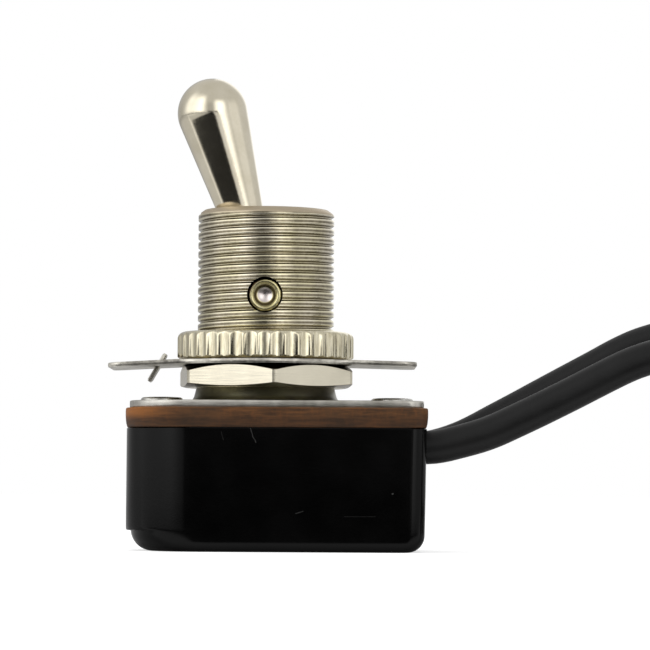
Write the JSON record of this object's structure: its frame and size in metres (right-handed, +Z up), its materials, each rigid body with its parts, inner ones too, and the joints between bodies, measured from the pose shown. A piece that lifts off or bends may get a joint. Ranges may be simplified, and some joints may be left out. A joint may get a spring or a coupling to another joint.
{
  "type": "toggle switch",
  "caption": "Panel toggle switch: bat lever in a threaded bushing with a hex nut, legend plate and ring nut, on a black moulded case with two black wire leads.",
  "frame": {"origin": "on the bushing's axis at the underside of the case", "axes": "+Z up the bushing, +X towards the end where the leads leave, lever swings along X"},
  "size_m": [0.0984, 0.0431, 0.0412],
  "materials": {
    "case_plastic": "black moulded phenolic, satin",
    "board_laminate": "brown laminated board, fibrous",
    "zinc_steel": "zinc plated steel, dull",
    "rivet_metal": "plated rivet",
    "legend_metal": "thin satin plate",
    "nickel": "polished nickel over brass",
    "brass": "plain brass",
    "spring_steel": "spring wire",
    "plunger_plastic": "moulded acetal",
    "silver": "silver contact",
    "lead_black": "black PVC insulation, satin",
    "tinned_copper": "tinned copper strands"
  },
  "bodies": {
    "switch": {"case": "case_plastic", "insulator_board": "board_laminate", "frame_plate": "zinc_steel", "rivet_left": "rivet_metal", "rivet_right": "rivet_metal", "bushing": "nickel", "hex_nut": "nickel", "legend_plate": "legend_metal", "knurled_nut": "nickel", "pivot_pin": "brass", "fixed_contact": "silver", "contact_terminal": "brass", "common_terminal": "brass", "contact_ferrule": "brass", "common_ferrule": "brass", "contact_core": "tinned_copper", "common_core": "tinned_copper", "lead_front": "lead_black", "lead_rear": "lead_black", "lead_front_coil": "lead_black", "lead_rear_coil": "lead_black", "lead_front_end": "tinned_copper", "lead_rear_end": "tinned_copper"},
    "lever": {"toggle_lever": "nickel", "plunger_spring": "spring_steel"},
    "plunger": {"plunger": "plunger_plastic"},
    "rocker": {"contact_rocker": "brass", "moving_contact": "silver"}
  },
  "joints": [
    {"name": "lever_swing", "type": "hinge", "parent": "switch", "child": "lever", "pos_m": [0, 0, 0.02198], "axis": [0, 1, 0], "range_deg": [0, 32.9]},
    {"name": "plunger_slide", "type": "slide", "parent": "lever", "child": "plunger", "axis": [-0.2832, 0, 0.9591], "range_m": [0, 0.0012], "stiffness_N_per_m": 12, "springref_m": -0.004, "deforming": ["plunger_spring"]},
    {"name": "rocker_tilt", "type": "hinge", "parent": "switch", "child": "rocker", "pos_m": [0, 0, 0.0034], "axis": [0, 1, 0], "range_deg": [-14.1, 0]}
  ],
  "couplings": [
    {"joint": "rocker_tilt", "follows": "lever_swing", "ratio": -0.42553}
  ]
}
